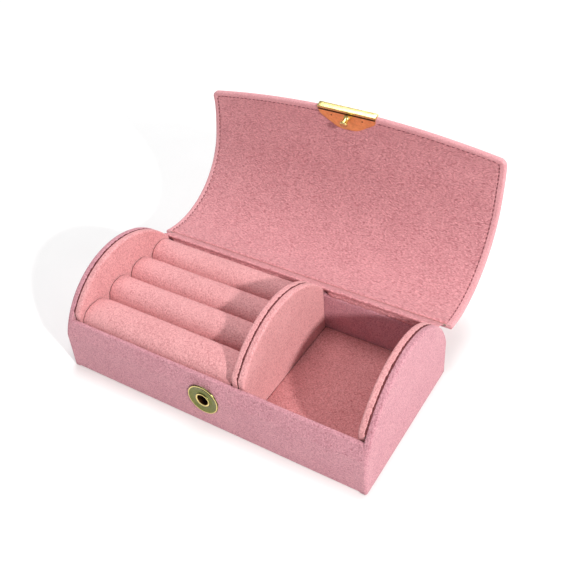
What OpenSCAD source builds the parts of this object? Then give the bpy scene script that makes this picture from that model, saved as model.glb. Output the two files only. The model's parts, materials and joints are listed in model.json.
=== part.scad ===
// Half-round jewellery case: a board box with arched ends, ring rolls, a trinket bay and
// a curved lid that wraps over the arch and snaps to the front wall with a stud.
// X runs along the case, Y from front to back, Z up. The origin is the middle of the underside.
// The lid is drawn open; one turn about its hinge closes it.

/* [Case] */
// Length of the case over its two ends
case_length = 160; // [140:1:190]
// Depth of the case from front to back
case_depth = 79; // [78:0.5:80]
// Radius of the arched ends
arch_radius = 41.3; // [41:0.1:41.6]
// Height of the arched ends
arch_height = 49; // [48.5:0.5:49.5]
// Height of the front and back walls
wall_height = 27; // [26:0.5:27.5]
// Thickness of a wrapped wall
wall_thickness = 5; // [5:0.1:5.4]
// Thickness of one wrapped end panel
panel_thickness = 3.2; // [3:0.1:3.4]
// Thickness of the covering suede
suede = 0.6; // [0.4:0.1:0.7]
// Gap at the seam between two panels
seam = 0.4; // [0.3:0.1:0.5]
// Thickness of the bottom board
bottom_board_t = 2; // [1.5:0.5:2.5]

/* [Inside] */
// Place of the divider's seam along the case
divider_x = 16; // [5:1:30]
// Height of the ring rolls' support
riser_top = 12; // [11.5:0.5:12.5]
// Radius of the front ring roll
front_roll_r = 9.6; // [9.4:0.1:9.6]
// Radius of the other ring rolls
roll_r = 8.2; // [8:0.1:8.2]
// How much taller than round the other rolls stand
roll_rise = 4.5; // [3:0.5:5]
// Height of the trinket bay's floor
trinket_floor = 7; // [5:0.5:10]

/* [Lid] */
// Gap between the closed lid and the arch
lid_gap = 0.9; // [0.8:0.1:1]
// Thickness of the lid's board
lid_board_t = 1.4; // [1.2:0.1:1.6]
// Thickness of the lid's outer cover
lid_cover_t = 0.7; // [0.6:0.1:0.8]
// Thickness of the lid's lining
lid_lining_t = 0.5; // [0.4:0.1:0.6]
// How far the lid reaches past each end of the case
lid_overhang = 1.2; // [0.8:0.1:2]
// Height of the lid's free edge when it is closed
lid_edge_z = 12.1; // [11.8:0.1:12.5]
// How far the free edge draws back from its middle to its ends
lid_bow = 6.5; // [3:0.5:7]
// Angle between the closed lid and the open lid
open_angle = 146; // [120:0.5:150]
// How far the lid's front flap springs out when it is let go
flap_relax = 12; // [12:0.5:14]
// How far out the flap still stands when it is snapped shut
flap_shut = 5; // [5:0.5:6]

/* [Latch] */
// Height of the stud and the socket
latch_z = 16; // [15.5:0.5:16.5]
// Length of the latch's clip along the lid's edge
clip_length = 32; // [24:1:40]
// Depth of the clip's leaves from the lid's edge
clip_depth = 11; // [9:0.5:11]
// Length of the clip's straight sides
clip_side = 4; // [2:0.5:5]
// Length of the clip's leaf at its far edge
clip_far = 10; // [6:1:20]
// Thickness of the latch's sheet metal
metal = 0.4; // [0.3:0.1:0.4]
// Radius of the stud's post
stud_post_r = 1.25; // [1:0.05:1.5]
// Radius of the stud's head
stud_head_r = 2.1; // [1.8:0.1:2.1]
// Length of the stud from its plate
stud_length = 5; // [4.8:0.1:5.1]
// Radius of the socket's hole
socket_hole_r = 2.8; // [2.8:0.1:3]
// Radius of the socket's flange
socket_flange_r = 8; // [7:0.5:9]

/* [Hidden] */
$fn = 96;

// Case
half_l = case_length / 2;
half_d = case_depth / 2;
arch_z = arch_height - arch_radius;          // height of the arch's centre
bay_half = half_d - wall_thickness;          // half the depth of the bays
floor_z = suede + bottom_board_t;            // top of the bottom board
wall_x = half_l - panel_thickness;           // ends of the front and back walls
liner_x = wall_x - seam;                     // outer face of an end liner
bay_x = liner_x - panel_thickness;           // inner face of an end liner
divider_l = divider_x - seam / 2 - panel_thickness;
divider_r = divider_x + seam / 2 + panel_thickness;
board_split = half_d - suede - 2.2;          // face between a wall's outer and inner boards
fit_gap = 0.1;                               // gap round a piece that is dropped in
far = 200;                                   // larger than the case in any direction

// Ring rolls: place of each roll's middle across the bay
roll_1_y = -bay_half + 0.15 + front_roll_r;
roll_2_y = roll_1_y + front_roll_r + fit_gap + roll_r;
roll_step = 2 * roll_r + fit_gap;
roll_z = riser_top + fit_gap + front_roll_r; // height of the front roll's middle
rear_roll_z = riser_top + fit_gap + roll_r;  // height of the other rolls' lower centre

// Lid, closed: angles are measured about the arch's centre, from the back over the top
lid_in = arch_radius + lid_gap;
board_in = lid_in + lid_lining_t;
board_out = board_in + lid_board_t;
lid_out = board_out + lid_cover_t;
lid_mid = (lid_in + lid_out) / 2;
lid_half = half_l + lid_overhang;
hinge_r = arch_radius + 0.67;
hinge_z = wall_height + 3.13;
hinge_a = asin((hinge_z - arch_z) / hinge_r);
hinge_y = hinge_r * cos(hinge_a);
knuckle_r = 0.8;
fold_start = hinge_a + 4.4;                  // the fold begins clear of the knuckle
lid_start = hinge_a + 9.46;                  // the lid's board begins above the fold
flap_a = 141.5;                              // where the flap begins to flex
flap_gap = 0.5;                              // angle left open between the lid's and the flap's boards
lid_end = 180 - asin((lid_edge_z - arch_z) / lid_mid);
edge_wrap = 0.9;                             // angle of cover wrapped round the free edge
edge_t = 0.7;                                // cover wrapped round the lid's ends
corner_r = 4;                                // rounding of the free edge's corners
pivot_out = 5;                               // the flap flexes about a line outside the lid
pivot_y = (lid_mid + pivot_out) * cos(flap_a);
pivot_z = arch_z + (lid_mid + pivot_out) * sin(flap_a);

// Latch
function turned(p, c, a) = [c[0] + cos(a) * (p[0] - c[0]) - sin(a) * (p[1] - c[1]),
    c[1] + sin(a) * (p[0] - c[0]) + cos(a) * (p[1] - c[1])];
flap_centre = turned([0, arch_z], [pivot_y, pivot_z], -flap_shut);    // middle of the shut flap's curve
latch_y = flap_centre[0] - sqrt(pow(lid_in, 2) - pow(latch_z - flap_centre[1], 2));   // lining at the stud
clip_angle = clip_depth / lid_mid * 180 / PI;
clip_wrap = 0.8;                             // angle of metal in front of the free edge
rivet_x = 8.5;
rivet_r = 0.8;
socket_tube_r = socket_hole_r + 0.4;
socket_depth = 3;
washer_r = 6;

suede_pink = [0.86, 0.56, 0.58];
board_grey = [0.62, 0.58, 0.54];
foam_white = [0.93, 0.91, 0.87];
gold = [0.85, 0.72, 0.35];

// Draws a 2D shape given in (y, z) as a solid from x0 to x1.
module along(x0, x1) {
    translate([x0, 0, 0]) rotate([90, 0, 90]) linear_extrude(x1 - x0) children();
}

// Draws children, built about the Z axis, about a line along +Y through the socket's middle.
module facing_back(y, z) {
    translate([0, y, z]) rotate([-90, 0, 0]) children();
}

// Arched outline: half its depth, its inset from the outer outline, its lowest and highest edges.
module arch_2d(half, inset, low, high = far) {
    intersection() {
        translate([0, arch_z]) circle(arch_radius - inset);
        translate([-half, low]) square([2 * half, high - low]);
    }
}

// A board under an arched cover, open at the bottom, and the cover that holds it.
module arched_board(x0, x1, half, low) {
    color(board_grey) along(x0 + suede, x1 - suede) arch_2d(half - suede, suede, low);
}
module arched_sleeve(x0, x1, half, low) {
    color(suede_pink) difference() {
        along(x0, x1) arch_2d(half, 0, low);
        along(x0 + suede, x1 - suede) arch_2d(half - suede, suede, low - 1);
    }
}

// End panels, wrapped on the outside and round their edges
module end_board(side) {
    color(board_grey) mirror([side < 0 ? 1 : 0, 0, 0])
        along(wall_x, half_l - suede) arch_2d(half_d - suede, suede, suede);
}
module end_cover(side) {
    color(suede_pink) mirror([side < 0 ? 1 : 0, 0, 0]) difference() {
        along(wall_x, half_l) arch_2d(half_d, 0, 0);
        along(wall_x - 1, half_l - suede) arch_2d(half_d - suede, suede, suede);
    }
}

// Space of a wall's boards: 1 for the back wall and -1 for the front wall
module wall_boards_2d(side, near, away, top) {
    intersection() {
        arch_2d(half_d - suede, suede, floor_z, top);
        translate([side > 0 ? near : -away, 0]) square([away - near, far]);
    }
}
module wall_board(side, near, away) {
    color(board_grey) along(-wall_x, wall_x) wall_boards_2d(side, near, away, wall_height - suede);
}

module socket_bore(r, from_y, to_y) {
    facing_back(from_y, latch_z) cylinder(r = r, h = to_y - from_y);
}

// One suede wrap runs over the front wall, under the case and over the back wall.
module base_cover() {
    color(suede_pink) difference() {
        along(-wall_x, wall_x) difference() {
            arch_2d(half_d, 0, 0, wall_height);
            translate([-bay_half, floor_z]) square([2 * bay_half, far]);
            translate([-half_d + suede, suede]) square([case_depth - 2 * suede, bottom_board_t]);
            for (side = [-1, 1])
                wall_boards_2d(side, bay_half + suede, half_d - suede, wall_height - suede);
        }
        socket_bore(socket_tube_r + 0.05, -half_d - 1, -half_d + suede + 0.5);
    }
}
module bottom_board() {
    color(board_grey) along(-wall_x, wall_x)
        translate([-half_d + suede, suede]) square([case_depth - 2 * suede, bottom_board_t]);
}
module front_outer_board() {
    difference() {
        wall_board(-1, board_split, half_d - suede);
        color(board_grey) socket_bore(socket_tube_r + 0.05, -half_d, -board_split + 1);
    }
}
module front_inner_board() {
    difference() {
        wall_board(-1, bay_half + suede, board_split);
        color(board_grey) socket_bore(washer_r + 0.1, -board_split - 1, -board_split + 0.7);
        color(board_grey) socket_bore(socket_tube_r, -board_split, -bay_half - suede - 0.2);
    }
}
module back_outer_board() { wall_board(1, board_split, half_d - suede); }
module back_inner_board() { wall_board(1, bay_half + suede, board_split); }

// Inside of the ring bay
roll_x0 = -bay_x + fit_gap;
roll_x1 = divider_l - fit_gap;
module ring_riser() {
    color(foam_white) along(roll_x0, roll_x1)
        translate([-bay_half + fit_gap, floor_z]) square([2 * (bay_half - fit_gap), riser_top - floor_z]);
}
module roll_2d(number, inset) {
    r = (number == 1 ? front_roll_r : roll_r) - inset;
    rise = number == 1 ? 0 : roll_rise;
    y = number == 1 ? roll_1_y : roll_2_y + (number - 2) * roll_step;
    z = number == 1 ? roll_z : rear_roll_z;
    translate([y, z]) {
        circle(r);
        translate([0, rise]) circle(r);
        translate([-r, 0]) square([2 * r, rise + 0.001]);
    }
}
module ring_roll_foam(number) {
    color(foam_white) along(roll_x0, roll_x1) roll_2d(number, suede);
}
module ring_roll_cover(number) {
    color(suede_pink) along(roll_x0, roll_x1) difference() {
        roll_2d(number, 0);
        roll_2d(number, suede);
    }
}

// Inside of the trinket bay
module trinket_pad(low, high) {
    along(divider_r + fit_gap, bay_x - fit_gap)
        translate([-bay_half + fit_gap, low]) square([2 * (bay_half - fit_gap), high - low]);
}
module trinket_floor_foam() { color(foam_white) trinket_pad(floor_z, trinket_floor - suede); }
module trinket_floor_cover() { color(suede_pink) trinket_pad(trinket_floor - suede, trinket_floor); }

// Socket in the front wall: a flanged eyelet with a rolled rim, a spring ring and a washer
rim_r = 0.45;
module socket_flange() {
    color(gold) facing_back(-half_d, latch_z) rotate_extrude() {
        translate([socket_hole_r, -metal]) square([socket_flange_r - socket_hole_r, metal]);
        translate([socket_hole_r, -metal]) square([socket_tube_r - socket_hole_r, socket_depth + metal]);
        intersection() {
            translate([socket_tube_r + 0.15, -metal]) circle(rim_r);
            translate([socket_hole_r, -1]) square([2, 1]);
        }
    }
}
module ring_2d(r0, r1, low, high) { translate([r0, low]) square([r1 - r0, high - low]); }
module socket_spring() {
    color(gold) facing_back(-board_split, latch_z) rotate_extrude()
        ring_2d(socket_hole_r - 0.35, socket_tube_r - 0.05, 0.25, 0.65);
}
module socket_washer() {
    color(gold) facing_back(-board_split, latch_z) rotate_extrude()
        ring_2d(socket_tube_r + 0.05, washer_r, 0, 0.6);
}

// Lid, drawn closed and turned open
module sector_2d(r0, r1, a0, a1) {
    reach = 3 * r1;
    mid = (a0 + a1) / 2;
    translate([0, arch_z]) intersection() {
        difference() {
            circle(r1, $fn = 180);
            circle(r0, $fn = 180);
        }
        polygon([[0, 0], reach * [cos(a0), sin(a0)], reach * [cos(mid), sin(mid)],
            reach * [cos(a1), sin(a1)]]);
    }
}
module lid_place() {
    translate([0, hinge_y, hinge_z]) rotate([-open_angle, 0, 0])
        translate([0, -hinge_y, -hinge_z]) children();
}
module flap_place() {
    lid_place() translate([0, pivot_y, pivot_z]) rotate([-flap_relax, 0, 0])
        translate([0, -pivot_y, -pivot_z]) children();
}

// Hinge strip: a leaf glued over the top of the back wall, and the line it folds about
function around_arch(r, a) = [r * cos(a), arch_z + r * sin(a)];
module hinge_strip() {
    leaf_in = arch_radius + 0.2;
    leaf_out = leaf_in + suede;
    color(suede_pink) along(-wall_x, wall_x) {
        polygon(concat([for (a = [19:3:hinge_a - 0.5]) around_arch(leaf_out, a)],
            [around_arch(leaf_out, hinge_a), around_arch(leaf_in, hinge_a)],
            [for (a = [31:-3:19]) around_arch(leaf_in, a)]));
        translate([hinge_y, hinge_z]) circle(knuckle_r);
    }
}
module hinge_fold() {
    color(suede_pink) lid_place() along(-wall_x, wall_x)
        sector_2d(board_in, board_in + suede, fold_start, lid_start);
}
module lid_board() {
    color(board_grey) lid_place() along(-lid_half + edge_t, lid_half - edge_t)
        sector_2d(board_in, board_out, lid_start, flap_a - flap_gap / 2);
}
module lid_cover() {
    color(suede_pink) lid_place() difference() {
        along(-lid_half, lid_half) sector_2d(board_in, lid_out, lid_start, flap_a - flap_gap / 2);
        along(-lid_half + edge_t, lid_half - edge_t)
            sector_2d(board_in - 1, board_out, lid_start - 1, flap_a + flap_gap);
    }
}
module lid_lining() {
    color(suede_pink) lid_place() along(-lid_half + edge_t, lid_half - edge_t)
        sector_2d(lid_in, board_in, lid_start + edge_wrap, flap_a - flap_gap / 2);
}

// Front view outline of the flap, with round corners at the free edge
module flap_outline(inset) {
    w = lid_half - inset;
    r = corner_r - inset;
    low = lid_edge_z - 0.2 + inset;
    slope = atan(2 * lid_bow / lid_half);        // of the edge near its ends
    x_c = w - r;
    z_c = low + lid_bow * pow((x_c + r * sin(slope)) / lid_half, 2) + r * cos(slope);
    edge = [for (x = [0:4:x_c]) [x, low + lid_bow * pow(x / lid_half, 2)]];
    corner = [for (k = [0:8]) let(a = -90 + slope + k * (90 - slope) / 8) [x_c + r * cos(a), z_c + r * sin(a)]];
    right = concat(edge, corner, [[w, far]]);
    left = [for (k = [len(right) - 1:-1:1]) [-right[k][0], right[k][1]]];
    rotate([90, 0, 0]) linear_extrude(far, center = true) polygon(concat(right, left));
}
module flap_part(half, r0, r1, a1, inset) {
    flap_place() intersection() {
        along(-half, half) sector_2d(r0, r1, flap_a + flap_gap / 2, a1);
        flap_outline(inset);
    }
}
module flap_board() {
    color(board_grey) flap_part(lid_half - edge_t, board_in, board_out, lid_end - edge_wrap, edge_t);
}
module flap_cover() {
    color(suede_pink) difference() {
        flap_part(lid_half, board_in, lid_out, lid_end, 0);
        flap_part(lid_half - edge_t, board_in - 1, board_out, lid_end - edge_wrap, edge_t);
    }
}
module flap_lining() {
    color(suede_pink) flap_part(lid_half - edge_t, lid_in, board_in, lid_end - edge_wrap / 2, edge_t);
}

// Latch: one sheet folded over the free edge, a stud and two rivets
module clip_outline() {
    w = clip_length / 2;
    top = lid_edge_z + clip_depth;
    rotate([90, 0, 0]) linear_extrude(far, center = true)
        polygon([[-w, 0], [w, 0], [w, lid_edge_z + clip_side], [clip_far / 2, top],
            [-clip_far / 2, top], [-w, lid_edge_z + clip_side]]);
}
// The stud stands square to the front wall when the flap is snapped shut.
module stud_place() {
    flap_place() translate([0, pivot_y, pivot_z]) rotate([flap_shut, 0, 0])
        translate([0, -pivot_y, -pivot_z]) facing_back(latch_y, latch_z) children();
}
module latch_clip() {
    a0 = lid_end - clip_angle - 4;
    color(gold) difference() {
        flap_place() intersection() {
            along(-clip_length / 2, clip_length / 2) difference() {
                sector_2d(lid_in - metal, lid_out + metal, a0, lid_end + clip_wrap);
                sector_2d(lid_in, lid_out, a0 - 1, lid_end);
            }
            clip_outline();
        }
        stud_place() cylinder(r = stud_post_r + 0.02, h = 4, center = true);
        for (side = [-1, 1]) stud_place() translate([side * rivet_x, 0, 0])
            cylinder(r = rivet_r + 0.02, h = 4, center = true);
    }
}
module latch_stud() {
    color(gold) stud_place() {
        translate([0, 0, 0.3]) cylinder(r = stud_post_r, h = stud_length - 0.3);
        translate([0, 0, stud_length - 1.4]) cylinder(r = stud_head_r, h = 1.4);
    }
}
module latch_rivets() {
    color(gold) stud_place() for (side = [-1, 1])
        translate([side * rivet_x, 0, 0.25]) cylinder(r = rivet_r, h = 0.4);
}

bottom_board();
base_cover();
front_outer_board();
front_inner_board();
back_outer_board();
back_inner_board();
end_board(-1);  // left_end_board
end_cover(-1);  // left_end_cover
end_board(1);  // right_end_board
end_cover(1);  // right_end_cover
arched_board(-liner_x, -bay_x, bay_half, floor_z);  // left_liner_board
arched_sleeve(-liner_x, -bay_x, bay_half, floor_z);  // left_liner_cover
arched_board(bay_x, liner_x, bay_half, floor_z);  // right_liner_board
arched_sleeve(bay_x, liner_x, bay_half, floor_z);  // right_liner_cover
arched_board(divider_l, divider_x - seam / 2, bay_half, floor_z);  // divider_left_board
arched_sleeve(divider_l, divider_x - seam / 2, bay_half, floor_z);  // divider_left_cover
arched_board(divider_x + seam / 2, divider_r, bay_half, floor_z);  // divider_right_board
arched_sleeve(divider_x + seam / 2, divider_r, bay_half, floor_z);  // divider_right_cover
ring_riser();
ring_roll_foam(1);  // ring_roll_foam_1
ring_roll_cover(1);  // ring_roll_cover_1
ring_roll_foam(2);  // ring_roll_foam_2
ring_roll_cover(2);  // ring_roll_cover_2
ring_roll_foam(3);  // ring_roll_foam_3
ring_roll_cover(3);  // ring_roll_cover_3
ring_roll_foam(4);  // ring_roll_foam_4
ring_roll_cover(4);  // ring_roll_cover_4
trinket_floor_foam();
trinket_floor_cover();
socket_flange();
socket_spring();
socket_washer();
hinge_strip();
hinge_fold();
lid_board();
lid_cover();
lid_lining();
flap_board();
flap_cover();
flap_lining();
latch_clip();
latch_stud();
latch_rivets();
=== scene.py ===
"""Looks of the half-round jewellery case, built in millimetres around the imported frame.

X runs along the case, Y from front to back, Z up. Angles round the lid are measured about the
arch's centre on the closed case, from the back over the top. Every mesh is made in the rest pose,
with the lid open, and is written to Blender in metres.
"""
import json
import math

import bmesh
import bpy
import numpy as np
from mathutils import Matrix, Vector, noise


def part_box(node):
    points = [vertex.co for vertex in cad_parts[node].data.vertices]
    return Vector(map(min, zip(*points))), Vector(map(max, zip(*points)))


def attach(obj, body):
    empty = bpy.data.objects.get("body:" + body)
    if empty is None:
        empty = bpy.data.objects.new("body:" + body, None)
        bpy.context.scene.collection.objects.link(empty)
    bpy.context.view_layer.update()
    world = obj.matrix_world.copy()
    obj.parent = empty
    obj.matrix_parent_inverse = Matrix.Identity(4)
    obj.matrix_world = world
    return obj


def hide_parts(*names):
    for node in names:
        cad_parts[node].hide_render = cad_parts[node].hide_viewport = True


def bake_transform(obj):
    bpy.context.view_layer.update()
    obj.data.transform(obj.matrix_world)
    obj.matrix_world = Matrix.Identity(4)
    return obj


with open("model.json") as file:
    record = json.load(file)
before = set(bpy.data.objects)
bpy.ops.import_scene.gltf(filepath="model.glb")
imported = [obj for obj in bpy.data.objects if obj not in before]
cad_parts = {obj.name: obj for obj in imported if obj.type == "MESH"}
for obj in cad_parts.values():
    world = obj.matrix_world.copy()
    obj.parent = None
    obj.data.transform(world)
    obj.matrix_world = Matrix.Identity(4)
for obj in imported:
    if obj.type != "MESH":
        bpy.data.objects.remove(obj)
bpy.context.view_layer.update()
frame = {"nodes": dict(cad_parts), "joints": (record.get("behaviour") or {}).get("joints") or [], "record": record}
MM = 0.001             # one millimetre in metres


def box_mm(node):
    """Lowest and highest corners of a CAD node, in millimetres."""
    low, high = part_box(node)
    return np.array(low) / MM, np.array(high) / MM


# Sizes read from the frame, in millimetres
WALL_X, HALF_D, WALL_TOP = box_mm("base_cover")[1]
HALF_L = -box_mm("left_end_cover")[0][0]
liner_low, liner_high = box_mm("left_liner_cover")
LINER_OUT, LINER_IN = -liner_low[0], -liner_high[0]
BAY_HALF, FLOOR_Z = liner_high[1], liner_low[2]
DIVIDER = [corner[0] for side in ("left", "right") for corner in box_mm(f"divider_{side}_cover")]
PAD_LOW, PAD_HIGH = box_mm("trinket_floor_cover")
LID_HALF = box_mm("lid_cover")[1][0]
SOCKET_LOW, SOCKET_HIGH = box_mm("socket_flange")
SOCKET_Z = (SOCKET_LOW[2] + SOCKET_HIGH[2]) / 2
SOCKET_R = (SOCKET_HIGH[2] - SOCKET_LOW[2]) / 2
CLIP_HALF = box_mm("latch_clip")[1][0]
joints = {j["name"]: j for j in frame["joints"]}
HINGE = np.array(joints["lid_hinge"]["pos_m"]) / MM
PIVOT_REST = np.array(joints["flap_press"]["pos_m"]) / MM
OPEN = math.radians(joints["lid_hinge"]["range_deg"][1])
PRESS = math.radians(joints["flap_press"]["range_deg"][1])

# Sizes of the design that no box gives
ARCH_R = 41.3          # radius of the arched panels
ARCH_Z = 7.7           # height of the arch's centre
LID_IN = 42.2          # radius of the lining's face
LINING_BACK = 42.7     # radius of the lining's back
LID_OUT = 44.8         # radius of the lid's outer face
LID_START = 41.5       # angle where the lid's board begins, in degrees
FLAP_AT = 141.5        # angle of the line that the flap turns about
FLEX = 16.0            # half the angle over which the lid's skin bends at the flap
SHUT = math.radians(5.0)   # how far the flap stands out when the lid is snapped shut
LID_END = 174.19       # angle of the lid's free edge
LID_BOW = 6.7          # how far the free edge draws back from its middle to its ends
CORNER_CURL = 0.36     # share by which the flap's ends stand out less than its middle
CORNER_R = 4.0         # rounding of the free edge's corners
RIM = 3.0              # width of the cover folded in over the lid's edges
SOCKET_HOLE = 2.8      # radius of the socket's hole
SEAM_WIDTH = 1.15      # nominal width of the dark seams between arched panels
LID_MID = (LID_IN + LID_OUT) / 2
HALF_THICK = (LID_OUT - LID_IN) / 2
LID_ARC = math.radians(LID_END - LID_START) * LID_MID


# ------------------------ camera
def add_camera():
    """A camera with the view's azimuth, elevation, roll, distance and lens."""
    azimuth, elevation, roll = math.radians(34.36), math.radians(38.3), math.radians(-4.57)
    offset = (-13.6, 51.8, 404.0)  # the case's origin in the camera's own axes, y down, z away
    back = Vector((math.sin(azimuth) * math.cos(elevation),
                   -math.cos(azimuth) * math.cos(elevation), math.sin(elevation)))
    right = (-back).cross(Vector((0, 0, 1))).normalized()
    up = right.cross(-back)
    turned_right = math.cos(roll) * right + math.sin(roll) * up
    turned_up = -math.sin(roll) * right + math.cos(roll) * up
    rows = Matrix((turned_right, -turned_up, -back))
    data = bpy.data.cameras.new("camera")
    camera = bpy.data.objects.new("camera", data)
    bpy.context.collection.objects.link(camera)
    axes = Matrix((turned_right, turned_up, back)).transposed().to_4x4()
    axes.translation = -(rows.transposed() @ Vector(offset)) * MM
    camera.matrix_world = axes
    data.sensor_width = 36.0
    data.lens = 52.9885
    data.shift_x, data.shift_y = 0.0045375, -0.0478185
    data.clip_start = 0.01
    bpy.context.scene.camera = camera
    bpy.context.scene.view_settings.view_transform = "Standard"


# ------------------------ materials
class Shader:
    """A small helper that adds and joins shader nodes."""

    def __init__(self, name):
        self.material = bpy.data.materials.new(name)
        self.material.use_nodes = True
        self.tree = self.material.node_tree
        self.bsdf = self.tree.nodes["Principled BSDF"]

    def fill(self, node, inputs):
        """Gives a node's inputs plain values, or joins other nodes' outputs to them."""
        for name, value in inputs.items():
            if isinstance(value, bpy.types.NodeSocket):
                self.tree.links.new(value, node.inputs[name])
            else:
                node.inputs[name].default_value = value

    def node(self, kind, inputs, **settings):
        made = self.tree.nodes.new(kind)
        for key, value in settings.items():
            setattr(made, key, value)
        self.fill(made, inputs)
        return made

    def coordinates(self, uv=False, stretch=(1, 1, 1), turn=0.0):
        """Texture coordinates in millimetres, from the mesh or from its UV map."""
        source = self.node("ShaderNodeTexCoord", {}).outputs["UV" if uv else "Object"]
        scale = [s / MM for s in stretch]
        inputs = {"Vector": source, "Scale": scale, "Rotation": (0, 0, turn)}
        return self.node("ShaderNodeMapping", inputs).outputs["Vector"]

    def noise(self, where, scale, detail=2.0, rough=0.5, distortion=0.0):
        inputs = {"Vector": where, "Scale": scale, "Detail": detail, "Roughness": rough,
                  "Distortion": distortion}
        return self.node("ShaderNodeTexNoise", inputs).outputs["Fac"]

    def cells(self, where, scale, feature="F1"):
        inputs = {"Vector": where, "Scale": scale}
        return self.node("ShaderNodeTexVoronoi", inputs, feature=feature).outputs["Distance"]

    def ramp(self, source, stops):
        made = self.node("ShaderNodeValToRGB", {"Fac": source})
        elements = made.color_ramp.elements
        while len(elements) < len(stops):
            elements.new(0.5)
        for element, (at, colour) in zip(elements, stops):
            element.position = at
            element.color = (*colour, 1.0)
        return made.outputs["Color"]

    def spread(self, source, low, high, to_low=0.0, to_high=1.0):
        inputs = {"Value": source, "From Min": low, "From Max": high, "To Min": to_low, "To Max": to_high}
        return self.node("ShaderNodeMapRange", inputs).outputs["Result"]

    def subtract(self, a, b):
        return self.node("ShaderNodeMath", {0: a, 1: b}, operation="SUBTRACT").outputs["Value"]

    def mix(self, factor, a, b):
        """Mixes a colour a, given by a node, with a plain colour b."""
        made = self.node("ShaderNodeMix", {"Factor": factor}, data_type="RGBA")
        first, second = [k for k, slot in enumerate(made.inputs) if slot.type == "RGBA"]
        self.fill(made, {first: a, second: (*b, 1.0)})
        return [slot for slot in made.outputs if slot.type == "RGBA"][0]

    def bump(self, heights):
        """Chains (height output, distance in mm) pairs into one normal."""
        normal = None
        for height, distance in heights:
            made = self.node("ShaderNodeBump", {"Height": height, "Strength": 1.0, "Distance": distance * MM})
            if normal is not None:
                self.fill(made, {"Normal": normal})
            normal = made.outputs["Normal"]
        self.fill(self.bsdf, {"Normal": normal})


def suede(name, light, dark, pebble=0.9, depth=0.10, uv=False, stretch=(1, 1, 1), turn=0.0, contrast=1.0):
    """Pink nubuck: soft mottling, fine pebbles about 1/pebble mm apart, short nap and a faint sheen."""
    s = Shader(name)
    where = s.coordinates(uv, stretch, turn)
    plain = s.coordinates(uv)
    mottle = s.noise(plain, 0.07, 3.0, 0.6)
    patches = s.noise(plain, 0.35, 4.0, 0.65)
    grain = s.cells(where, pebble, "SMOOTH_F1")
    creases = s.noise(where, pebble * 1.1, 3.0, 0.6, 0.6)
    nap = s.noise(plain, 9.0, 3.0, 0.7)
    relief = s.subtract(s.spread(creases, 0.34, 0.66), s.spread(grain, 0.30, 0.75, 0.0, 0.7))
    base = s.ramp(s.spread(mottle, 0.3, 0.7), [(0.0, dark), (1.0, light)])
    # Two tones for the relief: a darker, redder one for painted shade and a lighter one for painted highlight.
    dark_tone_and_shade = tuple(c * (1 - k * contrast) for c, k in zip(dark, (0.26, 0.44, 0.40)))
    highlight_and_nap_tone = tuple(min(1.0, c * (1 + 0.22 * contrast) + 0.03 * contrast) for c in light)
    base = s.mix(s.spread(patches, 0.45, 0.75, 0.0, 0.22), base, dark_tone_and_shade)
    # The relief's hollows and creases get painted shade and its tops a painted highlight; the patches above and
    # the nap below are the suede's own uneven tone.
    base = s.mix(s.spread(relief, 0.10, -0.45, 0.0, 0.75), base, dark_tone_and_shade)
    base = s.mix(s.spread(relief, 0.25, 0.75, 0.0, 0.70), base, highlight_and_nap_tone)
    base = s.mix(s.spread(nap, 0.52, 0.75, 0.0, 0.30), base, highlight_and_nap_tone)
    s.fill(s.bsdf, {"Base Color": base, "Roughness": s.spread(nap, 0.3, 0.7, 0.82, 0.97),
                    "Specular IOR Level": 0.22, "Sheen Weight": 0.25, "Sheen Roughness": 0.45,
                    "Sheen Tint": (1.0, 0.80, 0.80, 1.0)})
    s.bump([(relief, depth), (nap, depth * 0.2)])
    return s.material


def metal(name, colour, rough, scratch=0.004):
    """Plated metal with faint brushing, small pits and slightly uneven gloss."""
    s = Shader(name)
    streaks = s.noise(s.coordinates(stretch=(0.25, 4, 4)), 2.0, 4.0, 0.6)
    cloud = s.noise(s.coordinates(), 0.6, 3.0)
    worn = tuple(c * 0.82 for c in colour)
    s.fill(s.bsdf, {"Base Color": s.ramp(s.spread(cloud, 0.35, 0.7), [(0.0, worn), (1.0, colour)]),
                    "Metallic": 1.0, "Roughness": s.spread(streaks, 0.3, 0.7, rough * 0.7, rough * 1.4)})
    s.bump([(streaks, scratch), (cloud, scratch * 6)])
    return s.material


def fibre_board(name):
    """Grey bookbinding board with flecks of paper fibre."""
    s = Shader(name)
    where = s.coordinates(stretch=(0.5, 2.0, 2.0))
    fleck = s.noise(where, 3.0, 5.0, 0.75)
    cloud = s.noise(s.coordinates(), 0.25, 3.0)
    colour = s.ramp(fleck, [(0.25, (0.17, 0.14, 0.11)), (0.5, (0.34, 0.30, 0.25)), (0.8, (0.50, 0.45, 0.38))])
    stained = s.mix(s.spread(cloud, 0.3, 0.7, 0.0, 0.3), colour, (0.28, 0.24, 0.20))
    s.fill(s.bsdf, {"Base Color": stained, "Roughness": 0.92})
    s.bump([(fleck, 0.06)])
    return s.material


def open_foam(name):
    """Off-white foam with small open cells."""
    s = Shader(name)
    cells = s.cells(s.coordinates(), 2.2)
    colour = s.ramp(cells, [(0.0, (0.55, 0.52, 0.46)), (0.5, (0.80, 0.77, 0.70))])
    s.fill(s.bsdf, {"Base Color": colour, "Roughness": 0.95})
    s.bump([(cells, 0.15)])
    return s.material


def dark_seam_and_shade(name):
    """Dark maroon, partly the glued joint between two wrapped panels and partly painted shade in the gap there; it
    also paints the shade at the rolls' ends and round the trinket pad.
    """
    s = Shader(name)
    fuzz = s.noise(s.coordinates(), 2.5, 3.0, 0.7)
    colour = s.ramp(fuzz, [(0.3, (0.045, 0.006, 0.009)), (0.7, (0.20, 0.040, 0.045))])
    s.fill(s.bsdf, {"Base Color": colour, "Roughness": 0.95})
    s.bump([(fuzz, 0.10)])
    return s.material


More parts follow.
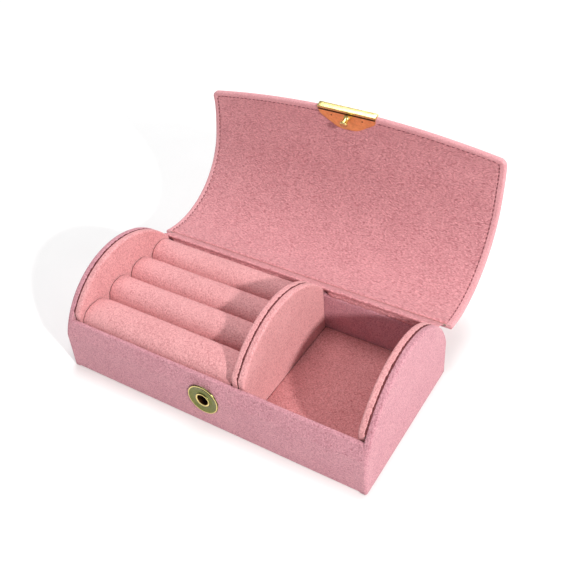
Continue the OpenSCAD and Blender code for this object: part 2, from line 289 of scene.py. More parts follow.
def thread(name):
    """Sewing thread: two twisted plies."""
    s = Shader(name)
    twist = s.node("ShaderNodeTexWave", {"Vector": s.coordinates(), "Scale": 2.0},
                   wave_type="BANDS", bands_direction="DIAGONAL").outputs["Fac"]
    colour = s.ramp(twist, [(0.2, (0.16, 0.045, 0.06)), (0.8, (0.32, 0.10, 0.12))])
    s.fill(s.bsdf, {"Base Color": colour, "Roughness": 0.7})
    s.bump([(twist, 0.05)])
    return s.material


def matt_floor(name):
    """A pale, matt studio floor."""
    s = Shader(name)
    cloud = s.noise(s.coordinates(), 0.02, 2.0)
    colour = s.ramp(cloud, [(0.3, (0.90, 0.90, 0.90)), (0.7, (0.93, 0.93, 0.93))])
    s.fill(s.bsdf, {"Base Color": colour, "Roughness": 0.9})
    return s.material


OUTER = suede("suede_outer", (0.605, 0.285, 0.335), (0.545, 0.24, 0.29),
              pebble=1.5, depth=0.26, contrast=1.05)
EDGE = suede("suede_edge", (0.67, 0.33, 0.355), (0.61, 0.285, 0.31),
             pebble=1.6, depth=0.10, contrast=0.5)
LINING = suede("suede_lining", (0.69, 0.325, 0.335), (0.62, 0.275, 0.285),
               pebble=1.5, depth=0.16, contrast=0.95)
# A darker, redder copy of the lining as painted shade, for the shaded floor of the trinket bay and the crease
# beside the hinge strip.
SHADED_LINING = suede("suede_lining_painted_shade", (0.54, 0.21, 0.215), (0.47, 0.17, 0.175),
            pebble=1.5, depth=0.18, contrast=1.2)
LID_INSIDE = suede("suede_lid_inside", (0.66, 0.285, 0.31), (0.58, 0.235, 0.26),
                   pebble=1.45, depth=0.28, uv=True, stretch=(0.55, 1.2, 1), turn=0.35, contrast=1.15)
GOLD = metal("gold_metal", (0.84, 0.68, 0.27), 0.22)
PLATE = metal("plate_gold", (1.0, 0.62, 0.25), 0.34)
OLD_GOLD = metal("old_gold", (0.18, 0.19, 0.065), 0.24)
# Dark bronze for the rivets, also used as painted shade beside the latch's bar and inside the socket's hole.
BRONZE_AND_SHADE = metal("dark_bronze_and_painted_shade", (0.07, 0.03, 0.012), 0.5)
STEEL = metal("plated_steel", (0.50, 0.46, 0.36), 0.35)
GREYBOARD = fibre_board("greyboard")
FOAM = open_foam("foam")
SEAM_AND_SHADE = dark_seam_and_shade("seam")
THREAD = thread("thread")


# ------------------------ meshes
def bare_mesh(name, points, faces, uv=None):
    """A mesh object from points in millimetres, with doubled points joined and faces turned outward."""
    data = bpy.data.meshes.new(name)
    data.from_pydata([tuple(p * MM for p in point) for point in points], [], faces)
    if uv is not None:
        layer = data.uv_layers.new(name="length_m")
        for loop in data.loops:
            layer.data[loop.index].uv = [c * MM for c in uv[loop.vertex_index]]
    made = bmesh.new()
    made.from_mesh(data)
    bmesh.ops.remove_doubles(made, verts=made.verts, dist=1e-7)
    bmesh.ops.recalc_face_normals(made, faces=made.faces)
    made.to_mesh(data)
    made.free()
    piece = bpy.data.objects.new(name, data)
    bpy.context.collection.objects.link(piece)
    return piece


def make_mesh(name, points, faces, material, body, replaces=(), uv=None):
    """A smooth mesh piece that rides on a body, or on none if it is to be blended between two."""
    piece = bare_mesh(name, points, faces, uv)
    piece.data.materials.append(material)
    piece.data.shade_smooth()
    if body:
        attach(piece, body)
    for node in replaces:
        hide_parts(node)
    return piece


def grid_faces(rows, columns, start=0, closed=False):
    """Quads over a grid of points laid out row by row; closed joins the last column to the first."""
    faces = []
    for i in range(rows - 1):
        for j in range(columns if closed else columns - 1):
            k = (j + 1) % columns
            faces.append((start + i * columns + j, start + i * columns + k,
                          start + (i + 1) * columns + k, start + (i + 1) * columns + j))
    return faces


def slab_faces(rows, columns):
    """Faces of a slab: two layers of rows by columns points, joined round their rim."""
    block = rows * columns
    grid = np.arange(block).reshape(rows, columns)
    rim = np.concatenate([grid[0], grid[1:, -1], grid[-1, -2::-1], grid[-2:0:-1, 0]]).tolist()
    faces = grid_faces(rows, columns) + grid_faces(rows, columns, start=block)
    for a, b in zip(rim, rim[1:] + rim[:1]):
        faces.append((a, b, b + block, a + block))
    return faces


def loft(name, rings, material, body, replaces=()):
    """A closed piece through closed rings of equal length; the end rings are filled to their middles."""
    count = len(rings[0])
    points = [p for ring in rings for p in ring]
    faces = grid_faces(len(rings), count, closed=True)
    for ring_start, ring in ((0, rings[0]), ((len(rings) - 1) * count, rings[-1])):
        middle = len(points)
        points.append(np.mean(np.array(ring), axis=0))
        faces += [(ring_start + j, ring_start + (j + 1) % count, middle) for j in range(count)]
    return make_mesh(name, points, faces, material, body, replaces)


def lathe(profile, place, steps=48, closed=False):
    """Points and faces of a turned shape; profile is (radius, height) pairs, closed or from axis to axis."""
    points = [place(r * math.cos(a), r * math.sin(a), h)
              for a in 2 * math.pi * np.arange(steps) / steps for r, h in profile]
    faces, count = [], len(profile)
    for k in range(steps):
        n = (k + 1) % steps
        for j in range(count if closed else count - 1):
            i = (j + 1) % count
            faces.append((k * count + j, n * count + j, n * count + i, k * count + i))
    return points, faces


def wander(x, y, z, scale, seed):
    """Smooth noise from -1 to 1 at a place in millimetres."""
    return noise.noise(Vector((x / scale + seed, y / scale - seed, z / scale + 0.7 * seed)))


def arc_points(middle, radii, start, end, count):
    """Points along an arc of a circle or an ellipse, its angles in radians."""
    return [(middle[0] + radii[0] * math.cos(a), middle[1] + radii[1] * math.sin(a))
            for a in np.linspace(start, end, count)]


def stations(length, near, count):
    """Places along a length: the near ones at both ends, with count even ones from the last of them."""
    near = np.array(near)
    even = np.linspace(near[-1], length - near[-1], count)
    return np.concatenate([near[:-1], even, length - near[-2::-1]])


# ------------------------ arched panels
def arch_outline(half, low, inset, sides=10, steps=72, floor=20):
    """Closed outline of an arched panel in (y, z), from the front bottom corner over the top."""
    h, r = half - inset, ARCH_R - inset
    top_of_side = ARCH_Z + math.sqrt(r * r - h * h)
    start = math.asin((top_of_side - ARCH_Z) / r)
    front = [(-h, z) for z in np.linspace(low + inset, top_of_side, sides, endpoint=False)]
    over = arc_points((0, ARCH_Z), (r, r), math.pi - start, start, steps)
    back = [(h, z) for z in np.linspace(top_of_side, low + inset, sides + 1)[1:]]
    base = [(y, low + inset) for y in np.linspace(h, -h, floor + 1)[1:-1]]
    return np.array(front + over + back + base)


def arched_panel(name, x_in, x_out, half, low, round_in, round_out, material, node, sharp_below=None):
    """A board wrapped in suede with soft edges. Below sharp_below the inner edge stays square,
    where the panel meets a wall."""
    outline = arch_outline(half, low, 0.0)
    direction = 1 if x_out > x_in else -1
    round_here = np.full(len(outline), round_in)
    if sharp_below is not None:
        easing, least = 1.5, 0.04  # height over which the rounding fades, and what is left of it
        round_here = round_in * np.clip((outline[:, 1] - sharp_below + easing) / easing, least, 1)
    seed = x_out * 0.37
    rings = []

    def edge_ring(x_from, shift, inset):
        """A ring round the edge: each of its points is shifted along x and set in by its own amount."""
        if np.ptp(inset) > 1e-6:
            flat = [arch_outline(half, low, max(i, 1e-4))[k] for k, i in enumerate(inset)]
        else:
            flat = arch_outline(half, low, inset[0])
        return [(x_from + direction * s, y, z + 0.05 * wander(0, y, z, 3.0, seed))
                for (y, z), s in zip(flat, shift)]

    def face_ring(x, share, radius):
        """A ring in a face of the panel, drawn towards its middle."""
        flat = arch_outline(half, low, radius)
        middle = flat.mean(axis=0)
        return [(x + 0.10 * wander(x, y, z, 9.0, seed), y, z) for y, z in middle + (flat - middle) * share]

    shares = (0.08, 0.3, 0.5, 0.68, 0.82, 0.92, 0.97)
    for share in shares:
        rings.append(face_ring(x_in, share, round_in))
    for a in np.linspace(0, math.pi / 2, 6):
        rings.append(edge_ring(x_in, round_here * (1 - math.cos(a)), round_here * (1 - math.sin(a))))
    for a in np.linspace(0, math.pi / 2, 6):
        shift, inset = -round_out * (1 - math.sin(a)), round_out * (1 - math.cos(a))
        rings.append(edge_ring(x_out, np.full(len(outline), shift), np.full(len(outline), inset)))
    for share in reversed(shares):
        rings.append(face_ring(x_out, share, round_out))
    loft(name, rings, material, "base", [node])


def panels():
    """The two ends, the liners inside them and the two halves of the divider."""
    for name, x_in, x_out in (("left_end", -WALL_X, -HALF_L), ("right_end", WALL_X, HALF_L)):
        arched_panel(f"{name}_wrap", x_in, x_out, HALF_D, 0.0, 0.8, 1.2, OUTER,
                     f"{name}_cover", sharp_below=WALL_TOP)
    for name, x_in, x_out in (("left_liner", -LINER_OUT, -LINER_IN), ("right_liner", LINER_OUT, LINER_IN),
                              ("divider_left", DIVIDER[1], DIVIDER[0]),
                              ("divider_right", DIVIDER[2], DIVIDER[3])):
        arched_panel(f"{name}_wrap", x_in, x_out, BAY_HALF - 0.05, FLOOR_Z, 0.7, 1.0, LINING,
                     f"{name}_cover")


def seam_line(name, x):
    """The dark uneven line between two panels: partly glue and folded suede, partly painted shade in the gap
    between them.
    """
    points = []
    low = WALL_TOP - 4
    sunk = 0.7  # depth of the seam's foot between the panels
    for y, z in arch_outline(BAY_HALF - 0.2, low, 0.30, steps=260):
        if z < low + 1:
            continue
        middle = np.array((y, z))
        sway = 0.16 * wander(x, y, z, 2.6, 3.1) + 0.08 * wander(x, y, z, 0.8, 1.3)
        wide = SEAM_WIDTH * max(0.4, 0.85 + 0.80 * wander(x, y, z, 1.5, 8.0))
        lift = 0.10 + 0.22 * wander(x, y, z, 1.1, 5.0)
        outward = (middle - (0, ARCH_Z)) / np.linalg.norm(middle - (0, ARCH_Z))
        for side, rise in ((-1, -sunk), (-1, lift), (1, lift), (1, -sunk)):
            p = middle + outward * rise
            points.append((x + sway + side * wide / 2, p[0], p[1]))
    count = len(points) // 4
    last = 4 * (count - 1)
    faces = grid_faces(count, 4, closed=True) + [(0, 1, 2, 3), (last + 3, last + 2, last + 1, last)]
    make_mesh(name, points, faces, SEAM_AND_SHADE, "base")


def seams():
    """One seam inside each end and one down the middle of the divider."""
    end_x = (WALL_X + LINER_OUT) / 2
    for name, x in (("left", -end_x), ("right", end_x), ("divider", (DIVIDER[1] + DIVIDER[2]) / 2)):
        seam_line(f"{name}_seam", x)


# ------------------------ walls and underside
def wrap_profile():
    """Outline in (y, z) of the suede, from inside the front wall, under the case, to inside the back."""
    crown, foot = 1.1, 0.9  # rounding of the wall's top and at its foot
    crown_z = WALL_TOP - crown
    outer_top = math.sqrt(ARCH_R ** 2 - (crown_z - ARCH_Z) ** 2)
    middle, half_wall = (BAY_HALF + outer_top) / 2, (outer_top - BAY_HALF) / 2
    top_angle, side_angle = math.asin((crown_z - ARCH_Z) / ARCH_R), math.acos(HALF_D / ARCH_R)
    side_top = ARCH_Z + ARCH_R * math.sin(side_angle)
    half = [(BAY_HALF, z) for z in np.linspace(FLOOR_Z, crown_z, 10)]
    half += arc_points((middle, crown_z), (half_wall, crown), math.pi, 0, 9)[1:-1]
    half += arc_points((0, ARCH_Z), (ARCH_R, ARCH_R), top_angle, side_angle, 9)
    half += [(HALF_D, z) for z in np.linspace(side_top, foot, 14)[1:]]
    half += arc_points((HALF_D - foot, foot), (foot, foot), 0, -math.pi / 2, 6)[1:]
    half += [(y, 0.0) for y in np.linspace(HALF_D - foot, 0, 14)[1:]]
    front = [(-y, z) for y, z in half]
    return np.array(front + half[-2::-1])


def case_wrap():
    """The suede over the walls and the underside, bored for the socket."""
    outside = wrap_profile()
    ahead = np.gradient(outside, axis=0)
    normal = np.stack([ahead[:, 1], -ahead[:, 0]], axis=1)  # away from the boards
    normal /= np.linalg.norm(normal, axis=1)[:, None]
    thick = 0.55
    closed = np.concatenate([outside, (outside - normal * thick)[::-1]])
    corner_x = HALF_L - 0.9  # the wrap runs on over the edges of the end panels, up to their corners
    outer_y = BAY_HALF + 1.6  # further out than this is the outer side of a wall
    foot_z = 1.0  # lower than this is the underside
    past = np.clip((WALL_TOP - 0.8 - closed[:, 1]) / 3.0, 0, 1) * (np.abs(closed[:, 0]) > outer_y)
    past = np.where(closed[:, 1] < foot_z, 1.0, past)
    ends = WALL_X + (corner_x - WALL_X) * past * past * (3 - 2 * past)
    near_end = np.array([1, 0.9985, 0.996, 0.992])
    rings = []
    for t in np.concatenate([-near_end, np.linspace(-0.98, 0.98, 90), near_end[::-1]]):
        ease = min(1.0, (1 - abs(t)) * 13)
        ring = []
        for (y, z), x_end in zip(closed, ends):
            x = t * x_end
            push, proud, lift = 0.0, 0.0, 0.0
            if z > foot_z:
                push = 0.16 * ease * wander(x, y, z, 17.0, 2.0)
                if abs(x) > WALL_X - 2 and abs(y) > outer_y:
                    proud = 0.14 * min(1.0, (abs(x) - WALL_X + 2) / 2)
                    proud *= 1 - 0.9 * max(0.0, (abs(x) - corner_x + 0.5) / 0.5) ** 2
            if z > WALL_TOP - 3:
                lift = 0.10 * ease * wander(x, y, 0, 23.0, 4.0)
            ring.append((x, y + push + math.copysign(proud, y), z + lift))
        rings.append(ring)
    count = len(closed)
    points = [p for ring in rings for p in ring]
    faces = grid_faces(len(rings), count, closed=True)
    lips = len(outside)
    for start in (0, (len(rings) - 1) * count):
        end = start + count - 1
        faces += [(start + k, start + k + 1, end - 1 - k, end - k) for k in range(lips - 1)]
    wrap = make_mesh("case_wrap", points, faces, OUTER, "base", ["base_cover"])
    bore = cylinder_along_y("bore", SOCKET_HOLE + 0.45, -HALF_D - 2, -HALF_D + 1.6, SOCKET_Z)
    cut = wrap.modifiers.new("bore", "BOOLEAN")
    cut.object, cut.solver = bore, "EXACT"
    apply_modifiers(wrap)
    bpy.data.objects.remove(bore)


def cylinder_along_y(name, radius, y0, y1, z, steps=48):
    """A plain cylinder to cut with, round a line along Y at height z."""
    ring = arc_points((0, z), (radius, radius), 0, 2 * math.pi, steps + 1)[:-1]
    points = [(x, y, height) for y in (y0, y1) for x, height in ring]
    caps = [tuple(range(steps)), tuple(range(2 * steps - 1, steps - 1, -1))]
    return bare_mesh(name, points, grid_faces(2, steps, closed=True) + caps)


def apply_modifiers(piece):
    """Makes the piece's modified shape its own mesh."""
    bpy.context.view_layer.update()
    shown = piece.evaluated_get(bpy.context.evaluated_depsgraph_get())
    data = bpy.data.meshes.new_from_object(shown)
    piece.modifiers.clear()
    piece.data = data


# ------------------------ soft insides
def ring_roll(number):
    """A foam roll in suede, squeezed between its neighbours and drawn in a little at its ends."""
    low, high = box_mm(f"ring_roll_cover_{number}")
    middle_y, middle_z = (low[1] + high[1]) / 2, (low[2] + high[2]) / 2
    half_y, half_z = (high[1] - low[1]) / 2 + 0.06, (high[2] - low[2]) / 2
    around, seed = 64, 11.0 * number
    power = 2 / 2.35  # a little squarer than an ellipse
    rings = []
    length = high[0] - low[0]
    for s in stations(length, [0, 0.12, 0.4, 0.9, 1.7, 3.0, 5.0], 60):
        x = low[0] + s
        end = min(s, length - s)
        draw = 0.38 * math.exp(-end / 0.5) + 0.15 * math.exp(-(end / 7.0) ** 2)
        pucker = math.exp(-end / 5.0)
        ring = []
        for a in 2 * math.pi * np.arange(around) / around:
            c, v = math.cos(a), math.sin(a)
            y = half_y * math.copysign(abs(c) ** power, c)
            z = half_z * math.copysign(abs(v) ** power, v)
            swell = 0.22 * wander(x, 3 * y, 3 * z, 26.0, seed) + 0.10 * wander(x, y, z, 5.0, seed)
            swell += 0.09 * pucker * (1 + math.sin(15 * a + 3.0 * wander(x, y, z, 6.0, seed)))
            share = 1 + (swell - draw) / math.hypot(y, z)
            side = abs(c) ** 6
            squeezed = share * (1 - side) + min(share, 1.0) * side
            ring.append((x, middle_y + y * squeezed, middle_z + z * share))
        rings.append(ring)
    roll = loft(f"ring_roll_{number}", rings, LINING, "base", [f"ring_roll_cover_{number}"])
    # A thin dark ring at each end, where the roll tucks against the panels, is painted shade.
    roll.data.materials.append(SEAM_AND_SHADE)
    for face in roll.data.polygons:
        x = face.center.x / MM
        face.material_index = int(min(x - low[0], high[0] - x) < 0.30)


def trinket_pad():
    """The suede-covered pad in the floor of the trinket bay, a little crowned, with soft edges."""
    nx, ny = 44, 52
    spill = 0.08  # how far the suede reaches past the pad's box, to the walls
    x0, y0, bottom = PAD_LOW - (spill, spill, 0)
    x1, y1, top = PAD_HIGH + (spill, spill, 0)
    points = []

    def spaced(low, high, count):
        """Places from low to high, closer together near both."""
        return low + (high - low) * (0.5 - 0.5 * np.cos(math.pi * np.linspace(0, 1, count)))

    def from_edge(x, y):
        return min(x - x0, x1 - x, y - y0, y1 - y)

    for is_top in (True, False):
        for x in spaced(x0, x1, nx):
            for y in spaced(y0, y1, ny):
                edge = from_edge(x, y)
                drop = 0.45 * math.exp(-edge / 0.5)
                rise = 0.25 * wander(x, y, 0, 15.0, 6.0) * min(1, edge / 5)
                points.append((x, y, top - drop + rise if is_top else bottom))
    # The pad takes the darker lining as painted shade: the shadow that the right end and the divider cast over the
    # bay's floor.
    pad = make_mesh("trinket_pad", points, slab_faces(nx, ny), SHADED_LINING, "base", ["trinket_floor_cover"])
    # A thin dark band round the pad's edge is painted shade where it meets the walls.
    pad.data.materials.append(SEAM_AND_SHADE)
    for face in pad.data.polygons:
        face.material_index = int(from_edge(face.center.x / MM, face.center.y / MM) < 0.25)


# ------------------------ lid
def turn(points, about, angle):
    """Turns points about a line along X through about, given as (y, z)."""
    c, s = np.cos(angle), np.sin(angle)
    y, z = points[:, 1] - about[0], points[:, 2] - about[1]
    return np.stack([points[:, 0], about[0] + c * y - s * z, about[1] + s * y + c * z], axis=1)


PIVOT = turn(np.array([[0, PIVOT_REST[1], PIVOT_REST[2]]]), HINGE[1:], OPEN)[0]   # on the closed lid


def open_lid(points, share):
    """Takes points of the closed case to the rest pose; share is how far each follows the flap."""
    points = np.array(points, float)
    flexed = turn(points, PIVOT[1:], -(PRESS + SHUT) * np.array(share, float))
    return turn(flexed, HINGE[1:], -OPEN)


def flap_share(angle, x=0.0):
    """How far a place on the lid follows the flap: 0 before the bend, 1 past it, less at the ends."""
    t = np.clip((np.array(angle, float) - (FLAP_AT - FLEX)) / (2 * FLEX), 0, 1)
    return t * t * (3 - 2 * t) * (1 - CORNER_CURL * (np.array(x, float) / LID_HALF) ** 2)


def bowed(x, arc):
    """Draws a length along the lid back towards its ends, so that the free edge is a shallow curve."""
    return arc - LID_BOW * (x / LID_HALF) ** 2 * (max(arc, 0.0) / LID_ARC) ** 4


def on_lid(x, angle, radius):
    """Points of the closed lid at an angle in degrees."""
    a = np.radians(angle)
    y, z = radius * np.cos(a), ARCH_Z + radius * np.sin(a)
    return np.stack([np.broadcast_to(x, np.shape(a)), y, z], axis=-1)


def lid_sheet(flat):
    """Takes (x, length along the lid, radius) triples to the rest pose; gives the points and their UVs."""
    uvs = [(x, bowed(x, arc)) for x, arc, _ in flat]
    x, arc = np.array(uvs).T
    radius = np.array(flat)[:, 2]
    angle = LID_START + np.degrees(arc / LID_MID)
    return open_lid(on_lid(x, angle, radius), flap_share(angle, x)), uvs


def bend_with_flap(piece):
    """Bakes the piece's placement into its mesh; its points already follow the lid below the flap, the flap beyond
    it, and bend smoothly between.
    """
    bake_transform(piece)


def edge_steps(length):
    """Places along a length, close together at both ends and where the rim meets the lining."""
    near = [0, 0.06, 0.18, 0.36, 0.62, 0.95, 1.3, 1.8, 2.3, 2.7, 2.9, 3.02, 3.14, 3.3, 3.6, 4.2, 5.2]
    return stations(length, near, int(length / 2.2))


def lid_half_width(arc, margin=0.0):
    """Half width of the lid at a place along its arc: the free edge's corners are round."""
    radius = max(CORNER_R - margin, 0.6)
    into = np.clip(arc - (LID_ARC - margin - radius), 0, radius)
    return LID_HALF - margin - (radius - np.sqrt(np.maximum(radius ** 2 - into ** 2, 0)))


def lid_cover():
    """The cover: outside of the lid, its rolled edges and the rim folded in over the lining."""
    arcs, across = edge_steps(LID_ARC), edge_steps(2 * LID_HALF)
    turned = 0.35  # width over which the rim's edge turns down to the lining
    flat = []
    for inner in (True, False):
        for s in arcs:
            width = lid_half_width(s)
            for u in across:
                x = (u / LID_HALF - 1) * width
                side = min(LID_ARC - s, width - abs(x))
                lift = math.sqrt(max(0.0, 1 - (1 - min(side, s, HALF_THICK) / HALF_THICK) ** 2))
                if inner:
                    radius = LID_MID - HALF_THICK * lift
                    if side > RIM + 0.08 or (s < RIM and side > RIM):
                        radius = LINING_BACK - 0.05
                    elif side > RIM - turned:
                        radius += 0.12 * (side - RIM + turned) / 0.4
                    radius += 0.05 * wander(x, s, 0, 3.0, 9.0) * lift
                else:
                    radius = LID_MID + HALF_THICK * lift + 0.10 * wander(x, s, 0, 30.0, 12.0) * lift
                flat.append((x, s, radius))
    points, uvs = lid_sheet(flat)
    rows, columns = len(arcs), len(across)
    faces = grid_faces(rows, columns) + grid_faces(rows, columns, start=rows * columns)
    cover = make_mesh("lid_cover_skin", points, faces, OUTER, None, ["lid_cover", "flap_cover"],
                      uv=uvs)
    cover.data.materials.append(EDGE)
    cover.data.materials.append(SHADED_LINING)
    flat_uv = cover.data.uv_layers[0].data
    inner_faces = (rows - 1) * (columns - 1)
    for face in cover.data.polygons:
        x, s = np.mean([flat_uv[k].uv for k in face.loop_indices], axis=0) / MM
        near_edge = min(LID_HALF - abs(x), LID_ARC - LID_BOW * (x / LID_HALF) ** 2 - s)
        face.material_index = int(near_edge < RIM + 0.6)
        if face.index < inner_faces and s < RIM and LID_HALF - abs(x) > RIM:
            face.material_index = 2  # painted shade in the crease beside the hinge strip
    bend_with_flap(cover)


def lid_lining():
    """The lining panel inside the rim, softly padded, with small folds near the hinge and the ends."""
    margin = RIM + 0.12
    start = 1.0
    length = LID_ARC - margin - start
    near = [0, 0.05, 0.15, 0.3, 0.55, 1.0, 1.8, 3.0, 4.2]
    span = 2 * (LID_HALF - margin)
    arcs, across = stations(length, near, 64) + start, stations(span, near, 96)
    flat = []
    for shown in (True, False):
        for s in arcs:
            width = lid_half_width(s, margin)
            for u in across:
                x = (u / (span / 2) - 1) * width
                edge = max(0.0, min(LID_ARC - margin - s, s - start, width - abs(x)))
                soft = 1 - math.exp(-edge / 0.28)
                radius = LINING_BACK
                if shown:
                    radius = LINING_BACK - 0.08 - (LINING_BACK - 0.08 - LID_IN) * soft
                    near_hinge = math.exp(-(s - start) / 8.0)
                    folds = wander(x * 0.45, s * 2.2, 0, 4.5, 4.0) * near_hinge * 0.45
                    near_end = math.exp(-(width - abs(x)) / 10.0)
                    folds += wander(x * 2.4, s * 0.45, 0, 6.0, 2.0) * near_end * 0.22
                    radius += (folds + 0.12 * wander(x, s, 0, 24.0, 3.0)) * soft
                flat.append((x, s, radius))
    points, uvs = lid_sheet(flat)
    lining = make_mesh("lid_lining_skin", points, slab_faces(len(arcs), len(across)), LID_INSIDE, None,
                       ["lid_lining", "flap_lining"], uv=uvs)
    bend_with_flap(lining)


def flap_board_panel():
    """The board inside the flap, bent like the cover round it."""
    margin, rows, columns = 1.1, 26, 90
    first = math.radians(FLAP_AT + 0.6 - LID_START) * LID_MID
    flat = [(t * lid_half_width(s, margin), s, radius) for radius in (LINING_BACK + 0.2, LID_OUT - 0.9)
            for s in np.linspace(first, LID_ARC - margin, rows) for t in np.linspace(-1, 1, columns)]
    board = make_mesh("flap_board_panel", lid_sheet(flat)[0], slab_faces(rows, columns), GREYBOARD, None,
                      ["flap_board"])
    bend_with_flap(board)


def stitches():
    """Thread stitches between the rim and the lining, round three sides of the lid, clear of the clip."""
    inset = RIM + 0.02
    radius = CORNER_R - 1.2
    corner_x, side_end = LID_HALF - inset - radius, LID_ARC - inset - radius
    path = [(-(LID_HALF - inset), s) for s in np.linspace(1.5, side_end, 200)]
    path += arc_points((-corner_x, side_end), (radius, radius), math.pi, math.pi / 2, 12)[1:]
    path += [(x, LID_ARC - inset) for x in np.linspace(-corner_x, 0, 200)[1:]]
    path += [(-x, s) for x, s in path[-2::-1]]
    path = np.array(path)
    run = np.concatenate([[0], np.cumsum(np.linalg.norm(np.diff(path, axis=0), axis=1))])
    pitch, length, thick = 2.5, 1.55, 0.20
    rings, sides = 7, 8
    flat, faces = [], []

    def along(place):
        """The (x, length along the lid) at a distance along the seam."""
        return np.array([np.interp(place, run, path[:, k]) for k in (0, 1)])

    for middle in np.arange(0.4 + length / 2, run[-1] - length / 2, pitch):
        centre = along(middle)
        if abs(centre[0]) < CLIP_HALF and centre[1] > LID_ARC - 5:
            continue
        heading = along(middle + 0.1) - centre
        heading /= np.linalg.norm(heading)
        across = np.array((-heading[1], heading[0]))
        first = len(flat)
        for t in np.linspace(-1, 1, rings):
            girth = thick * math.sqrt(max(0.0, 1 - t ** 4)) + 0.01
            height = LID_IN + 0.10 - 0.16 * (1 - t * t)
            for a in 2 * math.pi * np.arange(sides) / sides:
                x, s = centre + heading * t * length / 2 + across * girth * math.cos(a)
                flat.append((x, s, height - girth * math.sin(a)))
        faces += grid_faces(rings, sides, start=first, closed=True)
        last = first + (rings - 1) * sides
        faces += [tuple(range(first, first + sides)), tuple(range(last + sides - 1, last - 1, -1))]
    sewn = make_mesh("lid_stitches", lid_sheet(flat)[0], faces, THREAD, None)
    bend_with_flap(sewn)


def smooth_path(path, steps):
    """A smooth curve through every point of the path, with steps pieces from each point to the next."""
    t = np.linspace(0, len(path) - 1, steps * (len(path) - 1) + 1)
    k = np.minimum(t.astype(int), len(path) - 2)
    f = (t - k)[:, None]
    before, here = path[np.maximum(k - 1, 0)], path[k]
    after, last = path[k + 1], path[np.minimum(k + 2, len(path) - 1)]
    return 0.5 * (2 * here + (after - before) * f + (2 * before - 5 * here + 4 * after - last) * f ** 2
                  + (3 * here - before - 3 * after + last) * f ** 3)


def hinge_skin():
    """The suede strip: up the back wall and over its top, folded at the pin line, then into the lid."""
    pin = HINGE[1:]
    across = np.array((0.728, 0.685))  # from the wall's side of the fold to the lid's
    up = np.array((-across[1], across[0]))
    wall_side = [on_lid(0.0, angle, 41.8)[1:] for angle in (17, 19.5, 22, 24.5, 27, 29.2)]
    fold = [pin - 0.30 * across - 0.9 * up, pin - 0.32 * across, pin + 0.28 * up, pin + 0.32 * across,
            pin + 0.30 * across - 0.9 * up]
    lid_side = [on_lid(0.0, angle, radius) for angle, radius in (
        (34.6, 41.9), (36.5, 42.0), (38.5, 42.3), (40.3, 42.8),
        (LID_START + 0.8, LINING_BACK + 0.4), (LID_START + 2.6, LINING_BACK + 0.4))]
    path = wall_side + fold + [p[1:] for p in open_lid(lid_side, np.zeros(len(lid_side)))]
    steps = 4
    curve = smooth_path(np.array(path), steps)
    over_wall = np.arange(len(curve)) < steps * (len(wall_side) + 1)
    ahead = np.gradient(curve, axis=0)
    outward = np.stack([ahead[:, 1], -ahead[:, 0]], axis=1) / np.linalg.norm(ahead, axis=1)[:, None]
    run = np.concatenate([[0], np.cumsum(np.linalg.norm(np.diff(curve, axis=0), axis=1))])
    from_pin = np.linalg.norm(curve - pin, axis=1)
    loose = np.exp(-((from_pin - 2.2) / 1.6) ** 2)
    top = np.exp(-(from_pin / 2.0) ** 2)
    bead = np.exp(-((from_pin - 2.5) / 1.5) ** 2) * over_wall
    xs = np.linspace(-WALL_X, WALL_X, 190)
    points, uvs = [], []
    for layer in (-0.22, 0.22):
        for x in xs:
            sway = 0.35 * wander(x, 0, 0, 12.0, 5.0) + 0.15 * wander(x, 0, 0, 3.5, 2.0)
            swell = 0.0
            if layer < 0:  # the slack that shows in the two bays, clear of the panels
                clear = max(min(x + LINER_IN, DIVIDER[0] - x), min(x - DIVIDER[3], LINER_IN - x)) - 0.3
                swell = 1.7 * min(1.0, max(0.0, clear) / 2.0) * (1 + 0.30 * wander(x, 0, 0, 5.0, 9.0))
            for place, out, s, ease, high, slack in zip(curve, outward, run, loose, top, bead):
                wrinkle = 0.26 * wander(x * 0.8, s * 1.6, 0, 3.0, 7.0) + 0.20 * wander(x, s, 0, 8.0, 3.0)
                y, z = place + out * (layer + wrinkle * ease - swell * slack) + up * sway * high
                points.append((x, y, z))
                uvs.append((x, s))
    skin = make_mesh("hinge_skin", points, slab_faces(len(xs), len(curve)), LID_INSIDE, None,
                     ["hinge_strip", "hinge_fold"], uv=uvs)
    skin.data.materials.append(OUTER)
    per_side = (len(xs) - 1) * (len(curve) - 1)
    for face in skin.data.polygons[per_side:2 * per_side]:
        face.material_index = 1
    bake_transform(skin)


# ------------------------ latch and socket
FLAP_CENTRE = turn(np.array([[0, 0, ARCH_Z]]), PIVOT[1:], -SHUT)[0]
STUD_Y = FLAP_CENTRE[1] - math.sqrt(LID_IN ** 2 - (SOCKET_Z - FLAP_CENTRE[2]) ** 2)


def on_flap(points):
    """Takes points made on the closed lid to the rest pose, as parts of the flap."""
    return open_lid(points, np.ones(len(points)))


def on_shut_flap(points):
    """Takes points made where the flap stands when it is snapped shut to the rest pose."""
    return turn(turn(np.array(points, float), PIVOT[1:], -PRESS), HINGE[1:], -OPEN)


def at_edge(x, up, depth):
    """A point at a length up from the free edge, and at a depth from mid-thickness towards the case."""
    return on_lid(x, LID_END - math.degrees(up / LID_MID), LID_MID - depth)


def turned_at(x, y, outward=1):
    """Places a turned shape on a line along Y at the socket's height."""
    return lambda a, b, h: (x + a, y + outward * h, SOCKET_Z + b)


